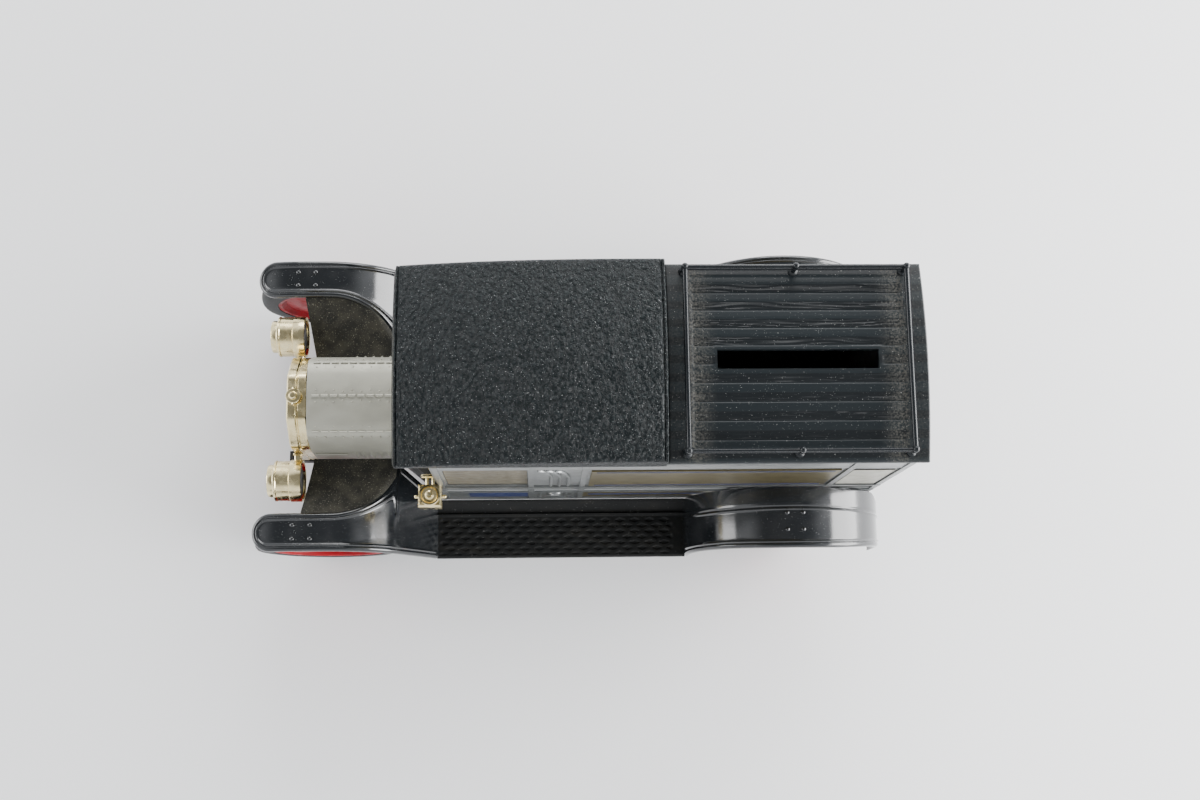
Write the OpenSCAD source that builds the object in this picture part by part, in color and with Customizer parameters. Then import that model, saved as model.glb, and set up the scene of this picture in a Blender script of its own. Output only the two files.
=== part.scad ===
// Antique delivery van coin bank, moulded plastic, rolling on two axles.
// Frame: +X is the radiator end, +Y the van's left side, +Z up.
// The origin is the centre of the footprint, on the ground under the tyres.

/* [Overall] */
// Half the width over the rear fenders
rear_fender_y = 39.6; // [39.4:0.1:40.4]
// Half the width over the front fenders and running boards
board_y = 39.06; // [38.8:0.02:39.3]

/* [Wheels] */
// Position of the front axle
front_wheel_x = 65.6; // [65:0.1:66]
// Position of the rear axle
rear_wheel_x = -58.7; // [-59:0.1:-58]
// Tyre outside radius, which is also the axle height
tyre_r = 20.5; // [20:0.1:20.8]
// Tyre width
tyre_w = 5.4; // [4.8:0.1:5.6]
// Distance from the centre plane to a tyre's inner face
tyre_in_y = 31.7; // [31.2:0.1:32]
// Distance from the centre plane to a rear tyre's inner face, which sits further in
rear_tyre_in_y = 28.2; // [27.8:0.1:29]
// Radius at which the tyre sits on the wheel
rim_r = 16; // [15:0.1:17]
// Number of moulded spokes
spoke_n = 12; // [8:1:16]
// Axle radius
axle_r = 1.5; // [1.2:0.1:1.8]
// Radial clearance of the axle in the chassis
axle_play = 0.05; // [0.02:0.01:0.09]

/* [Fenders] */
// Wall thickness of the fenders
fender_t = 1.2; // [1:0.1:1.4]
// Middle of the front fender's arch
front_arch_x = 65.1; // [64.8:0.1:65.6]
// Radius of the front fender's arch over the wheel
front_fender_r = 23.4; // [23:0.1:24]
// Half distance between the front fenders' inner edges
front_fender_in = 29.06; // [28.6:0.02:29.4]
// Angle at which the front arch turns into its straight tail
front_tail_a = 148; // [145:1:152]
// Radius of the rear fender
rear_fender_r = 26.9; // [26:0.1:27.5]
// Height of the running board's top
board_z = 18.25; // [17.5:0.05:19]

/* [Body] */
// Half width of the van body
body_y = 22.9; // [22.5:0.1:23.2]
// Height of the chassis plate's top, on which the body stands
floor_z = 24; // [23.5:0.1:25]
// Body rear wall position
body_rear_x = -81.4; // [-82:0.1:-81]
// Body front wall position
body_front_x = 34.6; // [34:0.1:35]
// Wall thickness of the body
wall_t = 1.6; // [1.2:0.1:2]
// Where the cargo roof meets the cab roof
roof_joint_x = -21.5; // [-22:0.1:-21]

/* [Roofs] */
// Half width over the cargo roof
roof_y = 24; // [23.8:0.1:24.2]
// Half width over the cab roof
cab_roof_y = 24.3; // [24:0.1:24.5]
// Height of the cargo roof's side edge
cargo_eave_z = 92.4; // [92:0.1:93]
// Height of the cab roof's side edge
cab_eave_z = 96.7; // [96:0.1:97]
// Rise of both roofs from side edge to middle
roof_crown = 3.5; // [2.5:0.1:4]
// How far the cab roof's front edge droops
visor_drop = 6; // [5:0.1:6]
// Front edge of the cab roof
visor_x = 41.9; // [41:0.1:42.5]
// Coin slot length
slot_l = 38; // [36:0.5:40]
// Coin slot width
slot_w = 4.6; // [4.4:0.1:5]
// Coin slot middle
slot_x = -52.4; // [-53:0.1:-52]

/* [Front end] */
// Radiator shell front face
radiator_x = 73.4; // [73:0.1:74]
// Radiator shell depth
radiator_t = 5.2; // [5:0.1:5.5]
// Radiator shell height
radiator_z = 52.4; // [52:0.1:53]
// Height of the headlamps' axis
lamp_z = 36.6; // [36:0.1:37.5]
// Distance of the headlamps from the centre plane
lamp_y = 19.7; // [19.5:0.1:20]

/* [Coin plug] */
// Radius of the plug hole in the chassis, wide enough for the largest coin
plug_r = 19.6; // [19.4:0.1:20]
// Plug middle
plug_x = -18; // [-20:0.5:-10]

/* [Hidden] */
$fn = 64;
eps = 0.01;
gap = 0.2;
plate_t = 1.4;
plate_z = floor_z - plate_t;
roof_t = 1.8;
roof_rear_x = body_rear_x - 1.7;
cab_wall_z = 89.6;
cowl_end_x = body_front_x + 11.1;
cowl_end_y = 13.4;
hood_x = cowl_end_x + 0.1;
hood_y = 12.8;
hood_z = 41.7;
hood_shoulder = [9, 52.1];
hood_crown_z = 53.7;
engine_y = 12.3;
horn_y = [9.4, 12];
horn_x = radiator_x + 3.6;
front_fender_top = tyre_r + front_fender_r;
nose_r = 30;
nose_x = front_arch_x + 7.5;
tip_x = radiator_x + 9.45;
tip_r = (board_y - front_fender_in) / 2;
tail_l = (tyre_r + front_fender_r * sin(front_tail_a) - board_z) / abs(cos(front_tail_a));
tail_x = front_arch_x + front_fender_r * cos(front_tail_a) - tail_l * sin(front_tail_a);
rear_start_a = asin((board_z - tyre_r) / rear_fender_r);
rear_end_a = 190;
post_y = 21.66;
post_pitch = 26;
post_x = slot_x + 0.1;
ball_z = 97.9;
post_r = 0.6;
rail_r = 0.36;
screw_y = body_y - wall_t - 2.5;

// Points on an arc in a plane
function arc(cx, cz, r, a0, a1, n) =
    [for (i = [0:n]) let (a = a0 + (a1 - a0) * i / n) [cx + r * cos(a), cz + r * sin(a)]];

function reversed(list) = [for (i = [len(list) - 1:-1:0]) list[i]];

// Height above the eave of a roof, across its width
function crown(y, rise) = rise * (1 - pow(y / roof_y, 2));

// Points along a crowned roof line from one side edge to the other
function crown_line(half, z, rise) =
    [for (i = [-12:12]) let (y = half * i / 12) [y, z + crown(y, rise)]];

// Side line of a front fender, offset inwards by d
function front_line(d) = concat(
    arc(nose_x, front_fender_top - nose_r, nose_r - d, 62, 90, 12),
    arc(front_arch_x, tyre_r, front_fender_r - d, 90, front_tail_a, 16),
    [[front_arch_x + (front_fender_r - d) * cos(front_tail_a) - tail_l * sin(front_tail_a),
      tyre_r + (front_fender_r - d) * sin(front_tail_a) + tail_l * cos(front_tail_a)]]);

// Inner edge of a front fender in plan, sweeping in behind the wheel
function sweep_line(d) = [for (i = [0:12]) let (a = 90 + 90 * i / 12)
    [front_arch_x - 1.5 + (17.5 + d) * cos(a), cowl_end_y + 1.2 + (14.46 + d) * sin(a)]];

module extrude_x(x0, x1) {
    translate([x0, 0, 0]) rotate([90, 0, 90]) linear_extrude(x1 - x0) children();
}

module extrude_y(y0, y1) {
    translate([0, y1, 0]) rotate([90, 0, 0]) linear_extrude(y1 - y0) children();
}

module cylinder_y(x, z, r, y0, y1) {
    translate([x, y0, z]) rotate([-90, 0, 0]) cylinder(r = r, h = y1 - y0);
}

module cylinder_x(y, z, r, x0, x1) {
    translate([x0, y, z]) rotate([0, 90, 0]) cylinder(r = r, h = x1 - x0);
}

module box(x0, x1, y0, y1, z0, z1) {
    translate([x0, y0, z0]) cube([x1 - x0, y1 - y0, z1 - z0]);
}

module mirrored() {
    mirror([0, 1, 0]) children();
}

module both_sides() {
    children();
    mirrored() children();
}

// Chassis: floor plate, axle bearers, front frame horns and screw bosses
module chassis() {
    color("#242322") difference() {
        union() {
            translate([0, 0, plate_z]) linear_extrude(plate_t) polygon([
                [body_rear_x, -body_y + gap], [body_front_x, -body_y + gap],
                [cowl_end_x, -cowl_end_y], [radiator_x, -engine_y],
                [radiator_x, engine_y], [cowl_end_x, cowl_end_y],
                [body_front_x, body_y - gap], [body_rear_x, body_y - gap]]);
            both_sides() box(cowl_end_x, horn_x, horn_y[0], horn_y[1], 17.5, plate_z + eps);
            both_sides() box(rear_wheel_x - 4, rear_wheel_x + 4, 14, 18, 17.5, plate_z + eps);
        }
        cylinder_y(front_wheel_x, tyre_r, axle_r + axle_play, -20, 20);
        cylinder_y(rear_wheel_x, tyre_r, axle_r + axle_play, -20, 20);
        translate([plug_x, 0, plate_z - 1]) cylinder(r = plug_r, h = 4, $fn = 96);
        screw_places() translate([0, 0, plate_z - 1]) cylinder(r = 1.6, h = 4, $fn = 32);
    }
}

module screw_places(sides = [-1, 1]) {
    for (x = [body_rear_x + 6, 20], s = sides) translate([x, s * screw_y, 0]) children();
}

// Four self-tapping screws that hold the chassis to the body
module chassis_screws() {
    color("#9a9a96") screw_places() {
        translate([0, 0, plate_z - 1.3]) cylinder(r1 = 2, r2 = 2.6, h = 1.3, $fn = 32);
        translate([0, 0, plate_z - eps]) cylinder(r = 1.5, h = 6, $fn = 32);
    }
}

// Outline across the cargo box, up to the underside of its roof
module cargo_section() {
    polygon(concat([[body_y, floor_z], [-body_y, floor_z]],
        crown_line(body_y, cargo_eave_z - roof_t - 0.06, roof_crown)));
}

// Body side: one wall from the rear to the windscreen, with window opening and screw posts
module body_side_left() {
    inner = body_y - wall_t;
    color("#b9b7b2") difference() {
        union() {
            intersection() {
                box(body_rear_x, roof_joint_x, inner, body_y, floor_z, 110);
                extrude_x(body_rear_x, roof_joint_x) cargo_section();
            }
            box(roof_joint_x, body_front_x, inner, body_y, floor_z, cab_wall_z);
            side_relief();
            screw_places(1) translate([0, 0, floor_z]) cylinder(r = 2.8, h = 8, $fn = 32);
        }
        screw_places(1) translate([0, 0, floor_z - 1]) cylinder(r = 1.6, h = 7, $fn = 32);
        box(11.1, 31.8, inner - 1, body_y + 1, 49.4, 76);
    }
}

module body_side_right() {
    mirrored() body_side_left();
}

// Rear wall between the two sides
module body_rear() {
    inner = body_y - wall_t;
    color("#b9b7b2") intersection() {
        box(body_rear_x, body_rear_x + wall_t, -inner, inner, floor_z, 110);
        extrude_x(body_rear_x, 0) cargo_section();
    }
}

// Front wall with the windscreen opening
module body_front() {
    inner = body_y - wall_t;
    x = body_front_x - wall_t;
    color("#b9b7b2") difference() {
        box(x, body_front_x, -inner, inner, floor_z, cab_wall_z);
        box(x - 1, body_front_x + 1, -18, 18, 56, 85);
    }
}

// Raised mouldings along one side of the body
module side_relief() {
    y = body_y;
    box(body_rear_x, body_front_x, y - eps, y + 0.5, 88 - 1.2, 88);
    box(body_rear_x, body_front_x, y - eps, y + 0.6, 46.6, 48.2);
    box(body_rear_x, body_front_x, y - eps, y + 0.6, 38.4, 39.6);
    box(body_rear_x, body_front_x, y - eps, y + 0.5, floor_z, floor_z + 2);
    for (x = [body_rear_x, -68.4, -3.6, 9.6, 32.6]) box(x, x + 1.4, y - eps, y + 0.5, floor_z, 88);
}

// Dashboard cowl between the cab and the hood
module cowl() {
    module plan(d) polygon([
        [body_front_x + gap, -body_y + gap + d], [cowl_end_x - d, -cowl_end_y + d],
        [cowl_end_x - d, cowl_end_y - d], [body_front_x + gap, body_y - gap - d]]);
    color("#242322") difference() {
        translate([0, 0, floor_z]) linear_extrude(hood_crown_z - 1.6 - floor_z) plan(0);
        translate([-eps, 0, floor_z - 1]) linear_extrude(hood_crown_z - 2.2 - floor_z) plan(1.4);
    }
}

// Windscreen frame, fixed in front of the body's front wall
module windscreen_frame() {
    x = body_front_x + gap;
    color("#d8c48a") difference() {
        box(x, x + 1.3, -20, 20, 54, 87);
        box(x - 1, x + 2.3, -17.6, 17.6, 56.4, 84.6);
    }
    color("#d8c48a") box(x, x + 1.3, -17.7, 17.7, 70, 71);
}

// Two-pane windscreen behind its frame
module windscreen_glass() {
    color("#cfd8da") box(body_front_x - 1, body_front_x - 0.2, -17.9, 17.9, 56.1, 84.9);
}

// Closed side window of the cab
module window_panel_left() {
    color("#cdbf9f") box(11.2, 31.7, body_y - wall_t, body_y - 0.3, 49.5, 75.9);
}

module window_panel_right() {
    mirrored() window_panel_left();
}

// Blank printed label on the side of the cargo box
module side_label_left() {
    color("#cbb27c") box(-65.9, -4.6, body_y, body_y + 0.4, 49.2, 74.6);
}

module side_label_right() {
    mirrored() side_label_left();
}

// Rear doors, one moulded panel with a middle joint and two hinge straps a side
module rear_door() {
    x = body_rear_x;
    color("#b9b7b2") difference() {
        box(x - 0.9, x, -18, 18, 28, 87);
        box(x - 2, x - 0.5, -0.4, 0.4, 27, 88);
        both_sides() box(x - 2, x - 0.6, 4, 14.5, 58, 80);
    }
    color("#b9b7b2") both_sides() for (z = [36, 52]) box(x - 1.4, x - 0.9 + eps, 9, 17.6, z, z + 2);
}

// Cargo roof: crowned plank roof with the coin slot
module cargo_roof() {
    color("#2b2a29") difference() {
        extrude_x(roof_rear_x, roof_joint_x - gap) polygon(concat(
            crown_line(roof_y, cargo_eave_z - roof_t, roof_crown),
            reversed(crown_line(roof_y, cargo_eave_z, roof_crown))));
        box(slot_x - slot_l / 2, slot_x + slot_l / 2, -slot_w / 2, slot_w / 2, 88, 98);
    }
}

// Cab roof: padded top that droops towards the front and ends in a slanted lip
module cab_roof() {
    steps = 6;
    color("#232221") {
        for (i = [1:steps]) hull() for (t = [i - 1, i] / steps) {
            x = roof_joint_x + (visor_x - roof_joint_x) * t;
            extrude_x(x - eps, x + eps) polygon(concat(
                [[cab_roof_y, cab_wall_z], [-cab_roof_y, cab_wall_z]],
                crown_line(cab_roof_y, cab_eave_z - visor_drop * pow(t, 2.5), roof_crown)));
        }
        extrude_y(-cab_roof_y + 0.2, cab_roof_y - 0.2)
            polygon([[visor_x - 1, cab_wall_z], [visor_x + 0.5, cab_wall_z - 1.6],
                [visor_x + 0.5, cab_wall_z - 0.6], [visor_x - eps, cab_wall_z + 1]]);
    }
}

// Luggage rail: ball-topped posts joined by a rail on all four sides of the roof
module luggage_rail() {
    color("#2a2928") both_sides() {
        for (i = [-1:1]) translate([post_x + i * post_pitch, post_y, 0]) {
            translate([0, 0, cargo_eave_z - 0.6])
                cylinder(r = post_r, h = ball_z - cargo_eave_z + 0.6, $fn = 24);
            translate([0, 0, cargo_eave_z + 0.7]) cylinder(r = post_r + 0.4, h = 0.7, $fn = 24);
            translate([0, 0, ball_z]) sphere(r = post_r + 0.2, $fn = 24);
        }
        cylinder_x(post_y, ball_z - 0.4, rail_r, post_x - post_pitch, post_x + post_pitch, $fn = 24);
        cylinder_x(post_y, ball_z - 2.6, rail_r, post_x - post_pitch, post_x + post_pitch, $fn = 24);
    }
    color("#2a2928") for (s = [-1, 1]) {
        cylinder_y(post_x + s * post_pitch, ball_z - 0.4, rail_r, -post_y, post_y, $fn = 24);
    }
}

// Hood: folded cover with hinged top and louvred sides
module hood() {
    module section(d) polygon([
        [-hood_y + d, floor_z - (d > 0 ? 1 : 0)], [-hood_y + d, hood_z],
        [-hood_shoulder[0] + d / 2, hood_shoulder[1] - d], [0, hood_crown_z - d],
        [hood_shoulder[0] - d / 2, hood_shoulder[1] - d], [hood_y - d, hood_z],
        [hood_y - d, floor_z - (d > 0 ? 1 : 0)]]);
    x1 = radiator_x - radiator_t - 0.1;
    color("#b4b2a6") {
        difference() {
            extrude_x(hood_x, x1) section(0);
            extrude_x(hood_x - 1, x1 + 1) section(1.2);
        }
        both_sides() for (i = [0:4])
            box(hood_x + 2 + i * 2.2, hood_x + 3 + i * 2.2, hood_y - eps, hood_y + 0.5, 35, 41);
        cylinder_x(0, hood_crown_z, 0.5, hood_x, x1, $fn = 24);
    }
}

module radiator_outline(d) {
    polygon([[-engine_y + d, floor_z + d], [engine_y - d, floor_z + d],
        [engine_y - d, 44.7 - d / 2], [5.9 - d / 3, radiator_z - d],
        [-5.9 + d / 3, radiator_z - d], [-engine_y + d, 44.7 - d / 2]]);
}

// Radiator shell: plated surround, open at front and back
module radiator_shell() {
    x0 = radiator_x - radiator_t;
    color("#d8c48a") difference() {
        extrude_x(x0, radiator_x) radiator_outline(0);
        extrude_x(x0 - 1, radiator_x + 1) radiator_outline(2.2);
    }
    color("#d8c48a") translate([radiator_x - 2, 0, radiator_z - eps]) cylinder(r = 1.3, h = 0.8, $fn = 32);
}

// Radiator core: grid of upright bars on a backing plate
module radiator_grille() {
    color("#8a7648") {
        extrude_x(radiator_x - 2.4, radiator_x - 1.6) radiator_outline(2.3);
        intersection() {
            extrude_x(radiator_x - 1.7, radiator_x - 1) radiator_outline(2.3);
            for (i = [-6:6]) box(radiator_x - 2, radiator_x, i * 1.5 - 0.3, i * 1.5 + 0.3, floor_z, 60);
        }
    }
}

module radiator_cap() {
    color("#d8c48a") translate([radiator_x - 2, 0, radiator_z + 0.8]) {
        cylinder(r = 1.9, h = 1.2, $fn = 32);
        cylinder(r = 1.1, h = 2.3, $fn = 32);
    }
}

// Splash apron from the hood's side to the fender
module apron_left() {
    color("#1e1d1d") intersection() {
        extrude_x(40, 80) polygon([
            [hood_y + 0.7, 33.6], [front_fender_in - gap, 41], [front_fender_in - gap, 42.2],
            [hood_y + 0.7, 34.8]]);
        translate([0, 0, 30]) linear_extrude(20) polygon(concat(
            [[radiator_x - 4.6, hood_y], [radiator_x - 2.8, front_fender_in]],
            sweep_line(-gap)));
    }
}

module apron_right() {
    mirrored() apron_left();
}

// Headlamp: stepped drum with a domed lens, open behind, on a bracket
module headlamp_left() {
    x0 = radiator_x - 2.5;
    color("#d8c48a") difference() {
        union() {
            cylinder_x(lamp_y, lamp_z, 5.6, x0, x0 + 3.3);
            cylinder_x(lamp_y, lamp_z, 5.3, x0 + 3.2, x0 + 7.4);
            cylinder_x(lamp_y, lamp_z, 4.4, x0 + 7.3, x0 + 9.5);
            box(x0 + 0.6, x0 + 2.4, engine_y + gap, lamp_y - 4.5, lamp_z - 1, lamp_z + 1);
        }
        cylinder_x(lamp_y, lamp_z, 4.5, x0 - 1, x0 + 6);
    }
}

module headlamp_right() {
    mirrored() headlamp_left();
}

// Carriage lamp beside the cowl: drum, top dish, end lenses and arm
module cowl_lamp_left() {
    y = 26;
    color("#d8c48a") translate([36.2, y, 0]) {
        translate([0, 0, 48]) cylinder(r = 2.7, h = 6.4, $fn = 40);
        translate([0, 0, 54.3]) cylinder(r1 = 3.1, r2 = 2.2, h = 1.2, $fn = 40);
        translate([0, 0, 55.4]) cylinder(r = 0.9, h = 0.8, $fn = 32);
        translate([0, 0, 46.6]) cylinder(r = 1.6, h = 1.5, $fn = 32);
        cylinder_x(0, 51, 1.7, -4.2, 4.2, $fn = 32);
        box(-0.6, 0.6, body_y - 0.9 - y, -1, 50.3, 51.7);
    }
}

module cowl_lamp_right() {
    mirrored() cowl_lamp_left();
}

// Front fender: arch over the wheel with a rounded nose and a swept tail
module front_fender_left() {
    color("#17171a") intersection() {
        extrude_y(cowl_end_y, board_y) polygon(concat(front_line(0), reversed(front_line(fender_t))));
        linear_extrude(60) polygon(concat(
            [[tail_x - 2, board_y]],
            reversed(arc(tip_x - tip_r, board_y - tip_r, tip_r, -90, 90, 20)),
            sweep_line(0),
            [[cowl_end_x + gap, cowl_end_y + 1.2], [body_front_x, body_y + gap],
             [tail_x - 2, body_y + gap]]));
    }
}

module front_fender_right() {
    mirrored() front_fender_left();
}

// Rear fender: an arch round the wheel that narrows towards its rear end
module rear_fender_left() {
    y = body_y + 0.7;
    x = rear_wheel_x;
    color("#17171a") intersection() {
        extrude_y(y, rear_fender_y) polygon(concat(
            arc(x, tyre_r, rear_fender_r, rear_start_a, rear_end_a, 48),
            arc(x, tyre_r, rear_fender_r - fender_t, rear_end_a, rear_start_a, 48)));
        linear_extrude(60) polygon([
            [x + 30, y], [x + 30, board_y], [x + 24, board_y], [x + 12, board_y + 0.35],
            [x + 3, rear_fender_y], [x - 6, rear_fender_y], [x - 14, rear_fender_y - 0.3],
            [x - 20, rear_fender_y - 0.8], [x - 24.5, rear_fender_y - 1.4], [x - 27, rear_fender_y - 1.9],
            [x - 27, y + 4], [x - 26.3, y + 2], [x - 25, y + 0.7], [x - 23, y]]);
    }
}

module rear_fender_right() {
    mirrored() rear_fender_left();
}

// Round rivet heads on top of the fenders
module fender_rivets() {
    color("#2a2a2d") both_sides() {
        for (dx = [-2.3, 2.3], dy = [-1.8, 1.8]) {
            translate([nose_x - 2.4 + dx, 34.1 + dy, front_fender_top]) cylinder(r = 0.7, h = 0.4, $fn = 20);
            translate([rear_wheel_x + dx, 32.6 + dy, tyre_r + rear_fender_r - 0.1])
                cylinder(r = 0.7, h = 0.5, $fn = 20);
        }
    }
}

// Running board with its raised inner rib
module running_board_left() {
    x0 = rear_wheel_x + rear_fender_r * cos(rear_start_a) + 0.1;
    x1 = tail_x - 0.1;
    color("#1e1d1d") {
        box(x0, x1, body_y + gap, board_y, board_z - 1.6, board_z);
        box(x0, x1, 26.6, 27.4, board_z - eps, board_z + 0.8);
        box(x0, x1, board_y - 0.8, board_y, board_z - 2.6, board_z - 1.6 + eps);
    }
}

module running_board_right() {
    mirrored() running_board_left();
}

// Stopper in the floor, pulled out downwards to empty the bank
module coin_plug() {
    color("#2a2928") translate([plug_x, 0, 0]) difference() {
        union() {
            translate([0, 0, plate_z - 1.2]) cylinder(r = plug_r + 1.2, h = 1.2, $fn = 96);
            translate([0, 0, plate_z - eps]) cylinder(r = plug_r - 0.06, h = plate_t + 1.2, $fn = 96);
        }
        translate([0, 0, plate_z]) cylinder(r = plug_r - 1.6, h = 5, $fn = 96);
        both_sides() translate([0, 8, plate_z - 2]) cylinder(r = 2.6, h = 1.4, $fn = 32);
    }
}

module axle(x, y_in) {
    reach = y_in + tyre_w - 0.5;
    color("#a8a8a8") cylinder_y(x, tyre_r, axle_r, -reach, reach);
}

module front_axle() {
    axle(front_wheel_x, tyre_in_y);
}

module rear_axle() {
    axle(rear_wheel_x, rear_tyre_in_y);
}

// Wheel: dished disc with moulded spokes, rim and hub on its outer side
module wheel(x, y0) {
    y1 = y0 + tyre_w;
    color("#a81c22") difference() {
        union() {
            cylinder_y(x, tyre_r, rim_r, y0 + 1.2, y0 + 2.4);
            difference() {
                cylinder_y(x, tyre_r, rim_r, y0 + 0.4, y1 - 0.4);
                cylinder_y(x, tyre_r, rim_r - 1.5, y0 - 1, y1 + 1);
            }
            spokes(x, y0 + 2.3, y1 - 1.4);
            cylinder_y(x, tyre_r, 3.2, y0 - 1.2, y1 - 0.8);
            cylinder_y(x, tyre_r, 2.4, y0, y1 - 0.3);
        }
        cylinder_y(x, tyre_r, axle_r, y0 - 3, y1 + 3);
    }
}

module spokes(x, y0, y1) {
    for (i = [0:spoke_n - 1]) translate([x, 0, tyre_r]) rotate([0, 360 * i / spoke_n, 0])
        box(2, rim_r - 1, y0, y1, -0.7, 0.7);
}

// Tyre: round-shouldered ring on the rim
module tyre(x, y0) {
    s = 1.3;
    h = tyre_w;
    color("#26262a") translate([x, y0, tyre_r]) rotate([-90, 0, 0]) rotate_extrude($fn = 120)
        polygon(concat([[rim_r, 0]], arc(tyre_r - s, s, s, -90, 0, 6), arc(tyre_r - s, h - s, s, 0, 90, 6),
            [[rim_r, h]]));
}

module wheel_front_left() { wheel(front_wheel_x, tyre_in_y); }
module wheel_front_right() { mirrored() wheel(front_wheel_x, tyre_in_y); }
module wheel_rear_left() { wheel(rear_wheel_x, rear_tyre_in_y); }
module wheel_rear_right() { mirrored() wheel(rear_wheel_x, rear_tyre_in_y); }
module tyre_front_left() { tyre(front_wheel_x, tyre_in_y); }
module tyre_front_right() { mirrored() tyre(front_wheel_x, tyre_in_y); }
module tyre_rear_left() { tyre(rear_wheel_x, rear_tyre_in_y); }
module tyre_rear_right() { mirrored() tyre(rear_wheel_x, rear_tyre_in_y); }

chassis();
body_side_left();
body_side_right();
body_rear();
body_front();
cowl();
cab_roof();
cargo_roof();
luggage_rail();
hood();
radiator_shell();
radiator_grille();
radiator_cap();
windscreen_frame();
windscreen_glass();
window_panel_left();
window_panel_right();
side_label_left();
side_label_right();
rear_door();
apron_left();
apron_right();
headlamp_left();
headlamp_right();
cowl_lamp_left();
cowl_lamp_right();
front_fender_left();
front_fender_right();
rear_fender_left();
rear_fender_right();
running_board_left();
running_board_right();
fender_rivets();
chassis_screws();
coin_plug();
front_axle();
wheel_front_left();
wheel_front_right();
tyre_front_left();
tyre_front_right();
rear_axle();
wheel_rear_left();
wheel_rear_right();
tyre_rear_left();
tyre_rear_right();
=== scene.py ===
import math
import bmesh
import bpy
import numpy as np
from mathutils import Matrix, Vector, noise


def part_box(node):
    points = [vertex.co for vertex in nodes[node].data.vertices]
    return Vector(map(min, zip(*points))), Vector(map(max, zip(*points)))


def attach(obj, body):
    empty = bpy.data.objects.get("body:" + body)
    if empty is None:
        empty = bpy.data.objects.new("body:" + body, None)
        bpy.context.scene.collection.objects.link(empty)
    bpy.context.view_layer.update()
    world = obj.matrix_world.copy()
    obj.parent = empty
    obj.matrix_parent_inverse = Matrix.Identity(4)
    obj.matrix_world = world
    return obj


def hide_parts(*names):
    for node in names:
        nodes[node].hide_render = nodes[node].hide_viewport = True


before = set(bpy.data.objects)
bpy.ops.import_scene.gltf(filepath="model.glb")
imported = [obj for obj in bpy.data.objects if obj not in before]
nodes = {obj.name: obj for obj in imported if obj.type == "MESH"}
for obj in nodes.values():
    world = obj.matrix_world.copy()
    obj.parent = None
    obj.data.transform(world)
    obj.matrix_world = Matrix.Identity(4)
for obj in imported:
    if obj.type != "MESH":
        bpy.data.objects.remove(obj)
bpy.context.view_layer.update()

MM = 0.001


def mm_box(node):
    """Lowest and highest corner of a CAD node, in millimetres."""
    low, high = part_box(node)
    return np.array(low) / MM, np.array(high) / MM


# ---------------------------------------------------------------- sizes, mm
TYRE_LOW, TYRE_HIGH = mm_box("tyre_front_left")
FRONT_X = (TYRE_LOW[0] + TYRE_HIGH[0]) / 2
AXLE_Z = (TYRE_LOW[2] + TYRE_HIGH[2]) / 2
TYRE_R = (TYRE_HIGH[2] - TYRE_LOW[2]) / 2
REAR_LOW, REAR_HIGH = mm_box("tyre_rear_left")
REAR_X = (REAR_LOW[0] + REAR_HIGH[0]) / 2
BODY_Y = mm_box("side_label_left")[0][1]
CARGO_LOW, CARGO_HIGH = mm_box("cargo_roof")
CAB_LOW, CAB_HIGH = mm_box("cab_roof")
ROOF_Y = CARGO_HIGH[1]
CAB_Y = CAB_HIGH[1]
CROWN = 3.5
CARGO_EAVE = CARGO_HIGH[2] - CROWN
CAB_EAVE = CAB_HIGH[2] - CROWN
VISOR_DROP = 6.0
VISOR_X = CAB_HIGH[0] - 0.5
SLOT_X, SLOT_L, SLOT_W = -52.4, 38.0, 4.6
PLANK_PITCH = 4.4
FENDER_LOW, FENDER_HIGH = mm_box("front_fender_left")
FENDER_TOP = FENDER_HIGH[2]
FENDER_OUT = FENDER_HIGH[1]
FENDER_IN = 29.06
FENDER_R = FENDER_TOP - AXLE_Z
TIP_X = FENDER_HIGH[0] + 0.7
TAIL_X = FENDER_LOW[0]
ARCH_X = 65.1
NOSE_R, NOSE_X = 30.0, ARCH_X + 7.5
TAIL_ANGLE = math.radians(148)
REAR_FENDER_LOW, REAR_FENDER_HIGH = mm_box("rear_fender_left")
REAR_FENDER_R = REAR_FENDER_HIGH[2] - AXLE_Z
BOARD_LOW, BOARD_HIGH = mm_box("running_board_left")
BOARD_Z = BOARD_HIGH[2] - 0.8
COWL_END = mm_box("cowl")[1][0]
COWL_END_Y = 13.4
BODY_FRONT = mm_box("windscreen_frame")[0][0] - 0.2
HOOD_LOW, HOOD_HIGH = mm_box("hood")
RADIATOR_LOW, RADIATOR_HIGH = mm_box("radiator_shell")
LAMP_Y, LAMP_Z = 19.7, 36.6
LAMP_X = mm_box("headlamp_left")[0][0]


# ------------------------------------------------------------ mesh building
WELD = 0.001  # points nearer than this are one, mm


def add_piece(name, verts, faces, mat, slot, body="van", replaces=(), angle=35):
    """A mesh piece from millimetre points, shaded smooth below the angle, riding on a body."""
    mesh = bpy.data.meshes.new(name)
    mesh.from_pydata([tuple(float(c) * MM for c in v) for v in verts], [], [tuple(f) for f in faces])
    mesh.validate()
    clean(mesh)
    mesh.polygons.foreach_set("use_smooth", [True] * len(mesh.polygons))
    mesh.set_sharp_from_angle(angle=math.radians(angle))
    obj = bpy.data.objects.new(name, mesh)
    bpy.context.scene.collection.objects.link(obj)
    mesh.materials.append(mat)
    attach(obj, body)
    if replaces:
        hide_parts(*replaces)
    return obj


def clean(mesh):
    """Welds doubled points and makes the normals face outwards."""
    bm = bmesh.new()
    bm.from_mesh(mesh)
    bmesh.ops.remove_doubles(bm, verts=bm.verts, dist=WELD * MM)
    bmesh.ops.dissolve_degenerate(bm, edges=bm.edges, dist=WELD * MM * 0.2)
    bmesh.ops.recalc_face_normals(bm, faces=bm.faces)
    bm.to_mesh(mesh)
    bm.free()


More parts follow.
